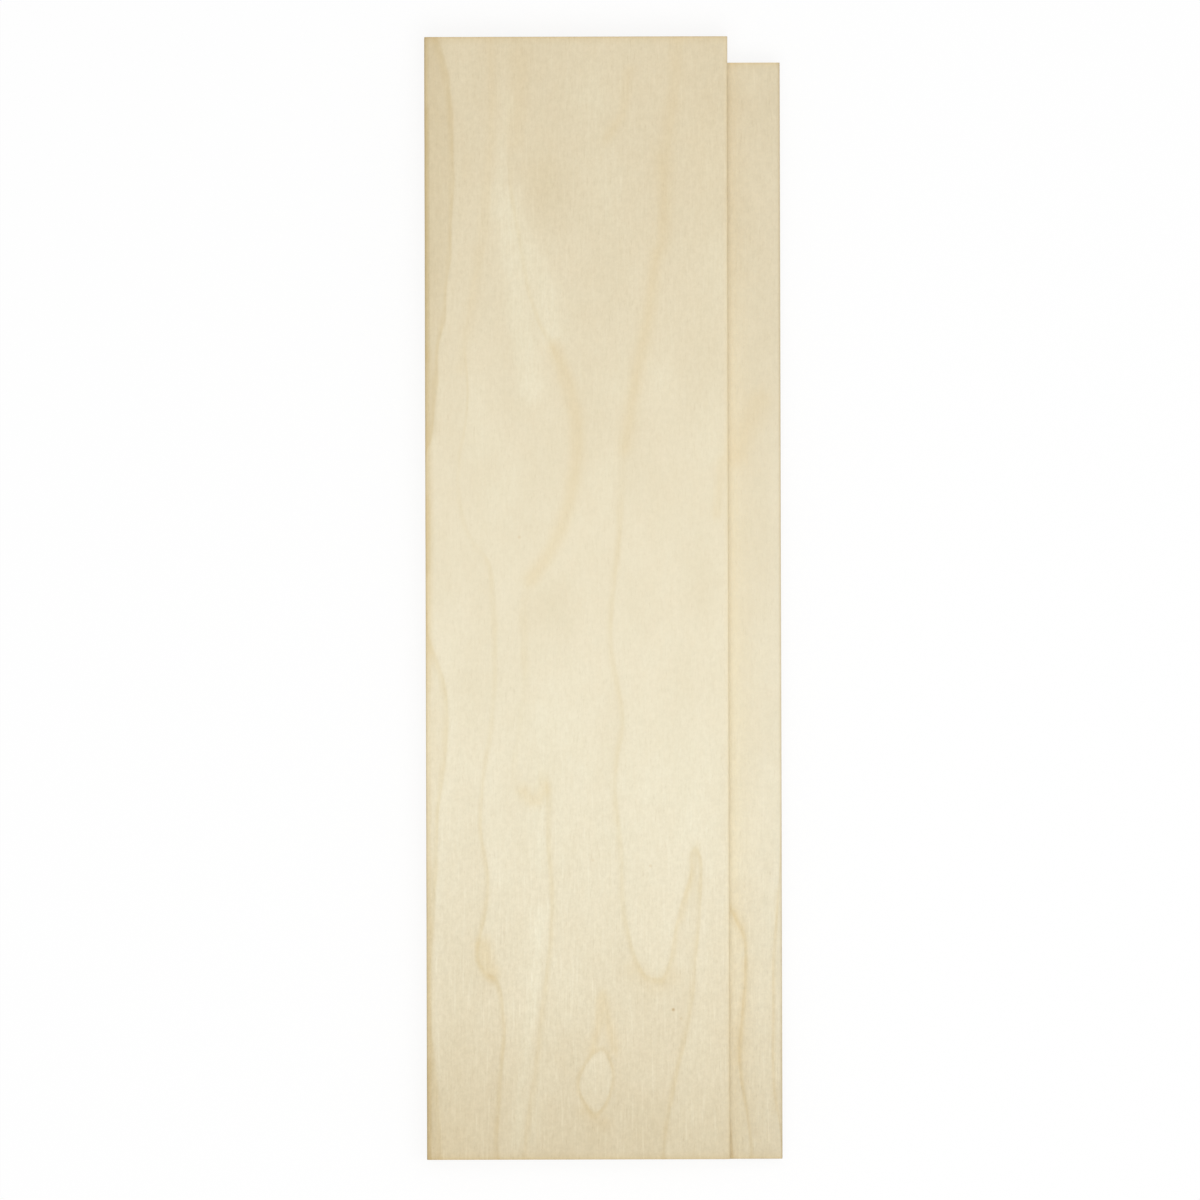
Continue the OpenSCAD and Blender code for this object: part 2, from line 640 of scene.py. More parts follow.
@dataclass(frozen=True)
class BoardSizes:
    """Sizes of the board in millimetres, as in the CAD part.

    Attributes:
        length: Length of the board.
        width: Width over the tongue.
        thickness: Thickness from the back to the face.
        tongue_reach: How far the tongue stands out of the face edge.
        tongue_thickness: Thickness of the tongue.
        face_lip: Depth of the tongue's upper side below the face.
        edge_ease: Radius of the long arrises.
        nose_radius: Radius of the tongue's nose.
        tongue_stop: Length over which the tongue is cut away.
        nose_gap: Room in front of the tongue's nose in the groove.
        side_gap: Room on each side of the tongue in the groove.
        lead_in: Chamfer at the mouth of the groove.
        back_lip_set: How far the back lip stops short of the face lip.
        end_ease: Bevel of the sawn ends' arrises.
    """

    length: float
    width: float
    thickness: float
    tongue_reach: float = 14.0
    tongue_thickness: float = 5.0
    face_lip: float = TONGUE_DEPTH
    edge_ease: float = 0.6
    nose_radius: float = 1.2
    tongue_stop: float = 7.0
    nose_gap: float = 0.8
    side_gap: float = 0.15
    lead_in: float = 0.6
    back_lip_set: float = 0.6
    end_ease: float = 0.15

    @classmethod
    def of_node(cls, node: str) -> "BoardSizes":
        """Takes the outer sizes from a CAD node.

        Args:
            node: Name of the node.

        Returns:
            Sizes of the board.
        """
        low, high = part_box(node)
        span = (high - low) / MM
        return cls(length=span.y, width=span.x, thickness=span.z)

    @property
    def groove_edge(self) -> float:
        """Place of the face lip's edge across the board."""
        return -self.width / 2

    @property
    def nose(self) -> float:
        """Place of the tongue's nose across the board."""
        return self.width / 2

    @property
    def shoulder(self) -> float:
        """Place of the shoulder that the tongue stands out of."""
        return self.nose - self.tongue_reach

    @property
    def tongue_top(self) -> float:
        """Height of the tongue's upper side."""
        return self.thickness - self.face_lip

    @property
    def tongue_bottom(self) -> float:
        """Height of the tongue's lower side."""
        return self.tongue_top - self.tongue_thickness

    @property
    def cuts(self) -> dict[CornerCut, float]:
        """Gives the size of each corner cut.

        Returns:
            The sizes, in the order in which the cuts are made.
        """
        return {
            CornerCut.EASED: self.edge_ease,
            CornerCut.NOSE: self.nose_radius,
            CornerCut.LEAD_IN: self.lead_in,
        }

    def corners(self) -> tuple[tuple[float, float, CornerCut], ...]:
        """Goes round the section's corners.

        Returns:
            Place across the board, height and cut of each corner, from the back lip round by the tongue.
        """
        back_lip = self.groove_edge + self.back_lip_set
        groove_floor = self.groove_edge + self.tongue_reach + self.nose_gap
        groove_top = self.tongue_top + self.side_gap
        groove_bottom = self.tongue_bottom - self.side_gap
        return (
            (back_lip, 0.0, CornerCut.EASED),
            (self.shoulder, 0.0, CornerCut.EASED),
            (self.shoulder, self.tongue_bottom, CornerCut.SHARP),
            (self.nose, self.tongue_bottom, CornerCut.NOSE),
            (self.nose, self.tongue_top, CornerCut.NOSE),
            (self.shoulder, self.tongue_top, CornerCut.SHARP),
            (self.shoulder, self.thickness, CornerCut.EASED),
            (self.groove_edge, self.thickness, CornerCut.EASED),
            (self.groove_edge, groove_top, CornerCut.LEAD_IN),
            (groove_floor, groove_top, CornerCut.SHARP),
            (groove_floor, groove_bottom, CornerCut.SHARP),
            (back_lip, groove_bottom, CornerCut.LEAD_IN),
        )


class Wiring:
    """Adds nodes to one node tree and joins their sockets."""

    def __init__(self, tree: bpy.types.NodeTree) -> None:
        """Keeps the tree to work on."""
        self.tree = tree

    def node(self, kind: str, **settings: object) -> bpy.types.Node:
        """Adds a node.

        Args:
            kind: Blender's name of the node type.
            **settings: Properties to set on it.

        Returns:
            The new node.
        """
        made = self.tree.nodes.new(kind)
        for name, value in settings.items():
            setattr(made, name, value)
        return made

    def feed(self, socket: Socket, value: object) -> None:
        """Joins a socket to an output, or sets it to a plain value.

        Args:
            socket: Socket to feed.
            value: Output or plain value.
        """
        if isinstance(value, bpy.types.NodeSocket):
            self.tree.links.new(value, socket)
        else:
            socket.default_value = value

    def fed(self, made: bpy.types.Node, *values: object) -> bpy.types.Node:
        """Feeds the inputs of a node in their order.

        Args:
            made: Node to feed.
            *values: Outputs or plain values for its inputs.

        Returns:
            The same node.
        """
        for socket, value in zip(made.inputs, values):
            self.feed(socket, value)
        return made

    def math(self, operation: str, *values: object) -> Socket:
        """Works out an operation of Blender's math node on outputs or numbers."""
        return self.fed(self.node("ShaderNodeMath", operation=operation), *values).outputs[0]

    def times(self, first: object, second: object) -> Socket:
        """Multiplies two numbers."""
        return self.math("MULTIPLY", first, second)

    def square(self, value: object) -> Socket:
        """Multiplies a number by itself."""
        return self.math("POWER", value, 2.0)

    def vector(self, operation: str, *values: object, output: str = "Vector") -> Socket:
        """Works out an operation of Blender's vector math node, and gives back the named output."""
        return self.fed(self.node("ShaderNodeVectorMath", operation=operation), *values).outputs[output]

    def parts(self, places: Socket) -> Outputs:
        """Splits positions into their X, Y and Z."""
        return self.fed(self.node("ShaderNodeSeparateXYZ"), places).outputs

    def span(
        self,
        value: object,
        low: object,
        high: object,
        start: object = 0.0,
        end: object = 1.0,
        way: str = "SMOOTHSTEP",
    ) -> Socket:
        """Takes a value from one range into another.

        Args:
            value: Value to map.
            low: Value that gives the start.
            high: Value that gives the end.
            start: Result at the low value.
            end: Result at the high value.
            way: Blender's name of the way between them.

        Returns:
            The mapped result.
        """
        made = self.node("ShaderNodeMapRange", interpolation_type=way)
        return self.fed(made, value, low, high, start, end).outputs["Result"]

    def noise(self, places: Socket, grain: Grain) -> Socket:
        """Adds a cloud of noise.

        Args:
            places: Position in millimetres.
            grain: Grain of the cloud.

        Returns:
            Noise around a half.
        """
        made = self.node("ShaderNodeTexNoise")
        scaled = self.vector("DIVIDE", places, (grain.across, grain.along, grain.across))
        self.feed(made.inputs["Vector"], scaled)
        self.feed(made.inputs["Scale"], 1.0)
        self.feed(made.inputs["Detail"], grain.detail)
        self.feed(made.inputs["Roughness"], grain.rough)
        return made.outputs["Fac"]

    def cloud(self, places: Socket, grain: Grain, least: float = 0.0) -> Socket:
        """Adds a cloud of noise that goes from its least value to 1 over the grain's own range."""
        return self.span(self.noise(places, grain), grain.low, grain.high, least, 1.0)

    def mix(self, mask: object, first: object, second: object, blend: str = "MIX") -> Socket:
        """Mixes two colours.

        Args:
            mask: Share of the second colour.
            first: First colour.
            second: Second colour.
            blend: Blender's name of the way to mix.

        Returns:
            The mixed colour.
        """
        made = self.node("ShaderNodeMix", data_type="RGBA", blend_type=blend)
        self.feed(made.inputs[MIX_FACTOR], mask)
        self.feed(made.inputs[MIX_FIRST], first)
        self.feed(made.inputs[MIX_SECOND], second)
        return made.outputs[MIX_RESULT]

    def attribute(self, name: str) -> Socket:
        """Reads a number that the mesh carries at its points."""
        return self.node("ShaderNodeAttribute", attribute_name=name).outputs["Fac"]

    def place(self, group: bpy.types.NodeTree, **inputs: object) -> Outputs:
        """Places a node group.

        Args:
            group: Group to place.
            **inputs: Outputs or values for its inputs, with an underscore for each space.

        Returns:
            The outputs of the group's node.
        """
        made = self.node("ShaderNodeGroup", node_tree=group)
        for name, value in inputs.items():
            self.feed(made.inputs[name.replace("_", " ")], value)
        return made.outputs


class GroupWiring(Wiring):
    """Wiring of a new node group, with what goes into the group and what comes out of it."""

    def __init__(self, name: str, inputs: dict[str, str], outputs: tuple[str, ...]) -> None:
        """Starts the group.

        Args:
            name: Name of the group.
            inputs: Name and kind of each input.
            outputs: Name of each output, all of them numbers.
        """
        super().__init__(bpy.data.node_groups.new(name, "ShaderNodeTree"))
        sockets = self.tree.interface
        for label, kind in inputs.items():
            sockets.new_socket(name=label, in_out="INPUT", socket_type=f"NodeSocket{kind}")
        for label in outputs:
            sockets.new_socket(name=label, in_out="OUTPUT", socket_type="NodeSocketFloat")
        self.given = self.node("NodeGroupInput").outputs
        self.result = self.node("NodeGroupOutput").inputs

    def give(self, name: str, value: Socket) -> None:
        """Sends a value out of the group."""
        self.feed(self.result[name], value)


@dataclass
class WoodEffects:
    """The shader node groups that the finishes of the board share, with places and sizes in millimetres.

    Attributes:
        sizes: Sizes of the board.
        growth: Growth field, for the place of the pith.
        ring_shake: Grain of the rings' wandering.
        line_gaps: Grain of the weaker stretches of a ring's line.
        weakest_line: Strength of a line where it is weakest.
        line_crest: Share of a line's width between its darkest part and its end.
        young: Share of a line's width over which the new wood turns pale.
        new_end: Share of a ring at which the new wood is no longer pale.
        late_power: Power with which a ring darkens towards its end.
        drift_shake: Grain of the drift's own wandering.
        drift_sway: How far the drift wanders along the board.
        lit_middle_head: Places along the board where the painted light that makes the middle paler starts
            and is full, from the stopped end.
        lit_middle_foot: Places where that painted light starts and is full, from the foot.
        foot: Places where the painted shade towards the foot starts and is full.
        raw_foot: Places between which fibres come out towards the foot, and their least and full share.
        raw_head: Places between which they come out towards the stopped end, and what is added.
        mark_shake: Grain of the machine marks' wandering.
        mark_sway: How far the marks wander, in marks.
        mark_fade: Grain of the stretches without marks.
    """

    sizes: BoardSizes
    growth: GrowthField
    ring_shake: Grain = Grain(1.6, 7.0, detail=3.0, rough=0.6)
    line_gaps: Grain = Grain(2.5, 9.0)
    weakest_line: float = 0.55
    line_crest: float = 0.35
    young: float = 0.3
    new_end: float = 0.2
    late_power: float = 2.5
    drift_shake: Grain = Grain(40.0, 70.0)
    drift_sway: float = 40.0
    # Painted light: the middle of the board paler, fading towards both ends
    lit_middle_head: tuple[float, ...] = (155.0, -42.0)
    lit_middle_foot: tuple[float, ...] = (-178.0, -56.0)
    # Painted shade towards the foot end
    foot: tuple[float, ...] = (-105.0, -160.0)
    raw_foot: tuple[float, ...] = (20.0, -125.0, 0.46, 1.0)
    raw_head: tuple[float, ...] = (20.0, 110.0, 0.0, 0.3)
    mark_shake: Grain = Grain(9.0, 9.0)
    mark_sway: float = 1.4
    mark_fade: Grain = Grain(14.0, 18.0, low=0.35, high=0.65)
    rings: bpy.types.NodeTree = field(init=False)
    fibre: bpy.types.NodeTree = field(init=False)
    drift: bpy.types.NodeTree = field(init=False)
    marks: bpy.types.NodeTree = field(init=False)

    def __post_init__(self) -> None:
        """Builds each group once."""
        self.rings = self._build_rings()
        self.fibre = self._build_fibre()
        self.drift = self._build_drift()
        self.marks = self._build_marks()

    def _build_rings(self) -> bpy.types.NodeTree:
        """Builds the growth rings: late wood, the thin line where a ring ends, and the pale new wood.

        Returns:
            The group.
        """
        group = GroupWiring(
            "growth_rings",
            {"Growth": "Float", "Position": "Vector", "Line Width": "Float", "Wander": "Float"},
            ("Late", "Line", "New"),
        )
        places = group.given["Position"]
        width = group.given["Line Width"]
        shake = group.math("SUBTRACT", group.noise(places, self.ring_shake), 0.5)
        shake = group.times(shake, group.given["Wander"])
        ring = group.math("ADD", group.given["Growth"], self._dip(group, places))
        share = group.math("FRACT", group.math("ADD", ring, shake))
        crest = group.math("MULTIPLY_ADD", width, -self.line_crest, 1.0)
        rise = group.span(share, group.math("SUBTRACT", 1.0, width), crest)
        fall = group.span(share, crest, 1.0, 1.0, 0.0)
        strength = group.cloud(places, self.line_gaps, self.weakest_line)
        young = group.times(width, self.young)
        paling = group.span(share, 0.0, young)
        ageing = group.span(share, young, self.new_end, 1.0, 0.0)
        group.give("Late", group.times(group.math("POWER", share, self.late_power), fall))
        group.give("Line", group.times(group.times(rise, fall), strength))
        group.give("New", group.times(paling, ageing))
        return group.tree

    def _dip(self, group: GroupWiring, places: Socket) -> Socket:
        """Counts the rings between the face and each place below it, as the growth field does.

        Args:
            group: Wiring of the group.
            places: Position in millimetres.

        Returns:
            Number of rings.
        """
        parts = group.parts(places)
        pith_height = self.sizes.thickness - self.growth.pith_depth
        across = group.square(group.math("SUBTRACT", parts["X"], self.growth.pith_x))
        height = group.square(group.math("SUBTRACT", parts["Z"], pith_height))
        near = group.math("SQRT", group.math("ADD", across, height))
        far = group.math("SQRT", group.math("ADD", across, self.growth.pith_depth ** 2))
        return group.math("DIVIDE", group.math("SUBTRACT", near, far), self.growth.ring_pitch)

    @staticmethod
    def _build_fibre() -> bpy.types.NodeTree:
        """Builds the fine fibres.

        Returns:
            The group.
        """
        group = GroupWiring("wood_fibre", {"Position": "Vector"}, tuple(FIBRES))
        for name, grain in FIBRES.items():
            group.give(name, group.cloud(group.given["Position"], grain))
        return group.tree

    def _build_drift(self) -> bpy.types.NodeTree:
        """Builds the slow drift of colour: painted light that makes the middle paler than the golden ends,
        painted shade towards the foot, the rawness of the wood and soft clouds.

        Returns:
            The group.
        """
        group = GroupWiring("colour_drift_and_painted_light", {"Position": "Vector"}, ("Lit_Middle", "Foot_Shade", "Raw", *CLOUDS))
        places = group.given["Position"]
        straight = group.parts(places)["Y"]
        shake = group.math("SUBTRACT", group.noise(places, self.drift_shake), 0.5)
        along = group.math("MULTIPLY_ADD", shake, self.drift_sway, straight)
        # Painted light: a paler pool in the middle of the board, fading towards both ends
        head = group.span(along, *self.lit_middle_head, way="LINEAR")
        group.give("Lit_Middle", group.times(head, group.span(along, *self.lit_middle_foot)))
        # Painted shade: darker towards the foot end
        group.give("Foot_Shade", group.span(straight, *self.foot))
        raw = group.span(along, *self.raw_foot)
        group.give("Raw", group.math("ADD", raw, group.span(along, *self.raw_head)))
        for name, grain in CLOUDS.items():
            group.give(name, group.cloud(places, grain))
        return group.tree

    def _build_marks(self) -> bpy.types.NodeTree:
        """Builds the marks that a machine leaves: even ripples, broken up by noise.

        Returns:
            The group.
        """
        group = GroupWiring(
            "machine_marks", {"Position": "Vector", "Direction": "Vector", "Pitch": "Float"}, ("Height",)
        )
        places = group.given["Position"]
        run = group.vector("DOT_PRODUCT", places, group.given["Direction"], output="Value")
        marks = group.math("DIVIDE", run, group.given["Pitch"])
        phase = group.math("MULTIPLY_ADD", group.noise(places, self.mark_shake), self.mark_sway, marks)
        wave = group.math("SINE", group.times(phase, math.tau))
        height = group.math("MULTIPLY_ADD", wave, 0.5, 0.5)
        group.give("Height", group.times(height, group.cloud(places, self.mark_fade)))
        return group.tree


@dataclass(frozen=True)
class WoodTints:
    """Colours of the wood, and what each effect multiplies them by; painted light and shade are among
    them.
    """

    golden: Colour = (0.806, 0.700, 0.488, 1.0)
    # Colour of the painted light in the middle of the board
    pale: Colour = (0.905, 0.832, 0.632, 1.0)
    # Painted shade towards the foot end
    foot: Colour = (0.932, 0.930, 0.918, 1.0)
    cloud: Colour = (0.975, 0.970, 0.958, 1.0)
    patches: Colour = (0.995, 0.992, 0.984, 1.0)
    blush: Colour = (0.999, 0.990, 0.984, 1.0)
    late: Colour = (0.972, 0.957, 0.938, 1.0)
    line: Colour = (0.940, 0.900, 0.800, 1.0)
    new: Colour = (1.020, 1.030, 1.046, 1.0)
    warm: Colour = (0.960, 0.890, 0.760, 1.0)
    shade: Colour = (0.800, 0.740, 0.600, 1.0)
    bleach: Colour = (1.045, 1.075, 1.105, 1.0)
    streak: Colour = (0.970, 0.966, 0.957, 1.0)
    silk: Colour = (1.050, 1.064, 1.086, 1.0)
    pores: Colour = (0.930, 0.915, 0.890, 1.0)
    speckle: Colour = (0.917, 0.914, 0.905, 1.0)
    # Warmer tone along the arrises, partly painted light that lifts the shade on their rounding
    arris: Colour = (1.010, 0.978, 0.905, 1.0)
    saw_line: Colour = (0.950, 0.900, 0.800, 1.0)
    fleck: Colour = (0.800, 0.690, 0.550, 1.0)


def new_material(name: str) -> tuple[bpy.types.Material, Wiring]:
    """Starts a material without nodes.

    Args:
        name: Name of the material.

    Returns:
        The material and its wiring.
    """
    material = bpy.data.materials.new(name)
    material.use_nodes = True
    material.node_tree.nodes.clear()
    return material, Wiring(material.node_tree)


@dataclass(frozen=True)
class WoodFinish:
    """One of the board's finishes: the same wood, as one tool left it.

    Attributes:
        name: Name of the material.
        ring_line: Share of a ring that its dark line takes up.
        mark_relief: Share of the machine's marks in the relief.
        roughness: Roughness between the fibres.
        wander: How far the rings wander, in rings.
        least_ring: Least strength of the rings.
        depth: Colour that deepens the whole surface; on the tongue and the moulded edges it is painted
            shade.
        mark_direction: Direction across the machine's marks.
        mark_pitch: Distance between the marks in millimetres.
        relief: Height of the relief in millimetres.
        saw_line: Strength of the dark line along the sawn ends.
        polish: How much smoother a worn arris is.
        fibre_roughness: How much rougher a dark fibre is.
        specular: Strength of the reflection.
        fray: Share of a pale band that is left on a dark fibre.
        streak_power: Power with which the dark fibres follow the rawness of the wood.
        silk_power: Power with which the pale fibres follow it.
        tints: Colours of the wood.
        flecks: Tiny dark flecks on the face.
        fleck_radius: Radius of a fleck in millimetres.
        fleck_core: Radius of its dark core.
    """

    name: str
    ring_line: float
    mark_relief: float
    roughness: float
    wander: float = 0.03
    least_ring: float = 0.0
    depth: Colour = WHITE
    mark_direction: Triple = (0.0, 1.0, 0.0)
    mark_pitch: float = 2.4
    relief: float = 0.05
    saw_line: float = 1.0
    polish: float = 0.1
    fibre_roughness: float = 0.1
    specular: float = 0.3
    fray: float = 0.7
    streak_power: float = 2.0
    silk_power: float = 3.0
    tints: WoodTints = WoodTints()
    flecks: tuple[Fleck, ...] = ()
    fleck_radius: float = 0.65
    fleck_core: float = 0.1

    def build(self, effects: WoodEffects) -> bpy.types.Material:
        """Makes the material.

        Args:
            effects: Node groups that the finishes share.

        Returns:
            The new material.
        """
        material, wiring = new_material(self.name)
        coordinates = wiring.node("ShaderNodeTexCoord")
        places = wiring.vector("DIVIDE", coordinates.outputs["Object"], (MM, MM, MM))
        rings = wiring.place(
            effects.rings,
            Growth=wiring.attribute("growth"),
            Position=places,
            Line_Width=self.ring_line,
            Wander=self.wander,
        )
        fibre = wiring.place(effects.fibre, Position=places)
        drift = wiring.place(effects.drift, Position=places)
        marks = wiring.place(
            effects.marks, Position=places, Direction=self.mark_direction, Pitch=self.mark_pitch
        )
        layers = self._layers(wiring, rings, fibre, drift)
        layers += self._fleck_layers(wiring, places, effects.sizes.thickness)
        # Painted light: the middle of the board is mixed towards the paler colour
        colour = wiring.mix(drift["Lit_Middle"], self.tints.golden, self.tints.pale)
        for mask, tint in (*layers, (1.0, self.depth)):
            colour = wiring.mix(mask, colour, tint, "MULTIPLY")
        worn = wiring.math("MULTIPLY_ADD", wiring.attribute("arris"), -self.polish, self.roughness)
        rough = wiring.math("MULTIPLY_ADD", fibre["Streak"], self.fibre_roughness, worn)
        shader = wiring.node("ShaderNodeBsdfPrincipled")
        wiring.feed(shader.inputs["Base Color"], colour)
        wiring.feed(shader.inputs["Roughness"], rough)
        wiring.feed(shader.inputs["Specular IOR Level"], self.specular)
        wiring.feed(shader.inputs["Normal"], self._relief(wiring, rings, fibre, marks))
        output = wiring.node("ShaderNodeOutputMaterial")
        wiring.feed(output.inputs["Surface"], shader.outputs["BSDF"])
        return material

    def _layers(self, wiring: Wiring, rings: Outputs, fibre: Outputs, drift: Outputs) -> list[Layer]:
        """Lists the effects that lie over the plain colour of the wood.

        Args:
            wiring: Wiring of the material.
            rings: Outputs of the growth rings.
            fibre: Outputs of the fibres.
            drift: Outputs of the colour drift.

        Returns:
            Mask and tint of each effect, from the lowest up.
        """
        tints = self.tints
        raw = drift["Raw"]
        line = wiring.math("MAXIMUM", wiring.attribute("bold"), self.least_ring)
        step = wiring.square(line)
        frayed = wiring.span(fibre["Streak"], 0.0, 1.0, 1.0, self.fray)
        return [
            # Painted shade: darker towards the foot end
            (drift["Foot_Shade"], tints.foot),
            (drift["Cloud"], tints.cloud),
            (drift["Patches"], tints.patches),
            (drift["Blush"], tints.blush),
            (wiring.times(rings["Late"], step), tints.late),
            (wiring.times(rings["New"], step), tints.new),
            (wiring.times(wiring.attribute("bleach"), frayed), tints.bleach),
            (wiring.attribute("warmth"), tints.warm),
            (wiring.attribute("shade"), tints.shade),
            (wiring.times(rings["Line"], line), tints.line),
            (wiring.times(fibre["Streak"], wiring.math("POWER", raw, self.streak_power)), tints.streak),
            (wiring.times(fibre["Silk"], wiring.math("POWER", raw, self.silk_power)), tints.silk),
            (wiring.times(fibre["Speckle"], raw), tints.speckle),
            (wiring.times(fibre["Pores"], raw), tints.pores),
            # Arrises: a warmer edge tone, partly painted light that lifts the shade on their rounding
            (wiring.attribute("arris"), tints.arris),
            (wiring.times(wiring.attribute("saw_line"), self.saw_line), tints.saw_line),
        ]

    def _fleck_layers(self, wiring: Wiring, places: Socket, face: float) -> list[Layer]:
        """Lists the flecks as effects.

        Args:
            wiring: Wiring of the material.
            places: Position in millimetres.
            face: Height of the face.

        Returns:
            Mask and tint of each fleck.
        """
        layers = []
        for fleck in self.flecks:
            distance = wiring.vector("DISTANCE", places, (fleck.x, fleck.y, face), output="Value")
            mask = wiring.span(distance, self.fleck_radius, self.fleck_core, 0.0, fleck.strength)
            layers.append((mask, self.tints.fleck))
        return layers

    def _relief(self, wiring: Wiring, rings: Outputs, fibre: Outputs, marks: Outputs) -> Socket:
        """Raises the fine relief of fibres, pores, rings and machine marks.

        Args:
            wiring: Wiring of the material.
            rings: Outputs of the growth rings.
            fibre: Outputs of the fibres.
            marks: Outputs of the machine marks.

        Returns:
            The bumped normal.
        """
        shares = [(fibre[name], share) for name, share in FIBRE_RELIEF.items()]
        shares += [(rings["Late"], LATE_RELIEF), (marks["Height"], self.mark_relief)]
        height = 0.0
        for effect, share in shares:
            height = wiring.math("MULTIPLY_ADD", effect, share, height)
        bump = wiring.node("ShaderNodeBump")
        wiring.feed(bump.inputs["Strength"], 1.0)
        wiring.feed(bump.inputs["Distance"], self.relief * MM)
        wiring.feed(bump.inputs["Height"], height)
        return bump.outputs["Normal"]


FINISHES = {
    Surface.PLANED: WoodFinish(
        name="planed_wood",
        ring_line=0.105,
        mark_pitch=1.8,
        mark_relief=0.12,
        roughness=0.58,
        flecks=FLECKS,
    ),
    Surface.MOULDED: WoodFinish(
        name="moulded_edge",
        ring_line=0.2,
        wander=0.12,
        least_ring=0.6,
        # Painted shade: the sideways moulded edges are darker and warmer, as wood in shade looks
        depth=(0.952, 0.922, 0.860, 1.0),
        mark_relief=0.3,
        roughness=0.6,
        relief=0.06,
    ),
    Surface.TONGUE: WoodFinish(
        name="milled_tongue",
        ring_line=0.14,
        # Painted shade: the tongue, a step below the face, is a little darker and cooler
        depth=(0.984, 0.988, 0.998, 1.0),
        mark_relief=0.25,
        roughness=0.62,
    ),
    Surface.SAWN: WoodFinish(
        name="sawn_end",
        ring_line=0.24,
        wander=0.16,
        least_ring=1.0,
        depth=(0.90, 0.83, 0.71, 1.0),
        mark_direction=(0.9, 0.0, 0.44),
        mark_pitch=0.9,
        mark_relief=0.5,
        roughness=0.7,
        relief=0.09,
        saw_line=0.0,
    ),
}


def new_mesh(name: str, bm: bmesh.types.BMesh) -> bpy.types.Mesh:
    """Turns a finished bmesh into a mesh, and frees it.

    Args:
        name: Name of the mesh.
        bm: What was built.

    Returns:
        The new mesh.
    """
    mesh = bpy.data.meshes.new(name)
    bm.to_mesh(mesh)
    bm.free()
    return mesh


def new_object(name: str, data: bpy.types.ID) -> bpy.types.Object:
    """Makes an object at the origin and links it to the scene.

    Args:
        name: Name of the object.
        data: Mesh, camera or lamp that it shows.

    Returns:
        The new object.
    """
    made = bpy.data.objects.new(name, data)
    bpy.context.scene.collection.objects.link(made)
    return made


def bevel(bm: bmesh.types.BMesh, geom: list, size: float, affect: str, segments: int) -> None:
    """Bevels corners or edges.

    Args:
        bm: Mesh that holds them.
        geom: Corners or edges.
        size: Size of the bevel in millimetres.
        affect: Blender's name of what is bevelled.
        segments: Number of the bevel's segments.
    """
    bmesh.ops.bevel(
        bm,
        geom=geom,
        offset=size * MM,
        affect=affect,
        segments=segments,
        profile=0.5,
        material=-1,
    )


def split(bm: bmesh.types.BMesh, geom: list, plane: float) -> list:
    """Cuts a mesh along an upright plane that runs the length of the board.

    Args:
        bm: Mesh to cut.
        geom: What to cut of it.
        plane: Place of the plane across the board, in metres.

    Returns:
        What was cut, with its new parts.
    """
    cut = bmesh.ops.bisect_plane(bm, geom=geom, dist=WELD, plane_co=(plane, 0, 0), plane_no=(1, 0, 0))
    return cut["geom"]


@dataclass(frozen=True)
class ArrisWear:
    """Wear of the arrises, here more and there less, in millimetres.

    Attributes:
        depth: Depth of the wear.
        reach: Distance from an arris over which the wear fades.
        end_set: How much farther off the arris of a sawn end counts.
        least: Share of an arris below which nothing is worn.
        knocks: Waves of the long knocks in a millimetre, across, along and through the board.
        nicks: Waves of the short nicks in a millimetre.
        nick_shift: What sets the nicks apart from the knocks.
        nick_level: Noise above which a nick starts.
        nick_depth: Depth of the nicks beside that of the knocks.
        slant: Share of the wear that goes across the board, and the share that goes through it.
    """

    depth: float = 0.16
    reach: float = 0.55
    end_set: float = 0.2
    least: float = 0.05
    knocks: Triple = (0.35, 0.09, 0.35)
    nicks: Triple = (0.2, 0.31, 0.2)
    nick_shift: Triple = (0.0, 0.0, 7.0)
    nick_level: float = 0.3
    nick_depth: float = 1.2
    slant: float = 0.7

    def at(self, place: np.ndarray) -> float:
        """Gives the wear of an arris.

        Args:
            place: Place on the arris.

        Returns:
            Depth of the wear across the board, and as much through it.
        """
        knock = noise.noise(Vector(place * self.knocks))
        nick = noise.noise(Vector(place * self.nicks + self.nick_shift)) - self.nick_level
        return self.slant * self.depth * (max(0.0, knock) + self.nick_depth * max(0.0, nick))


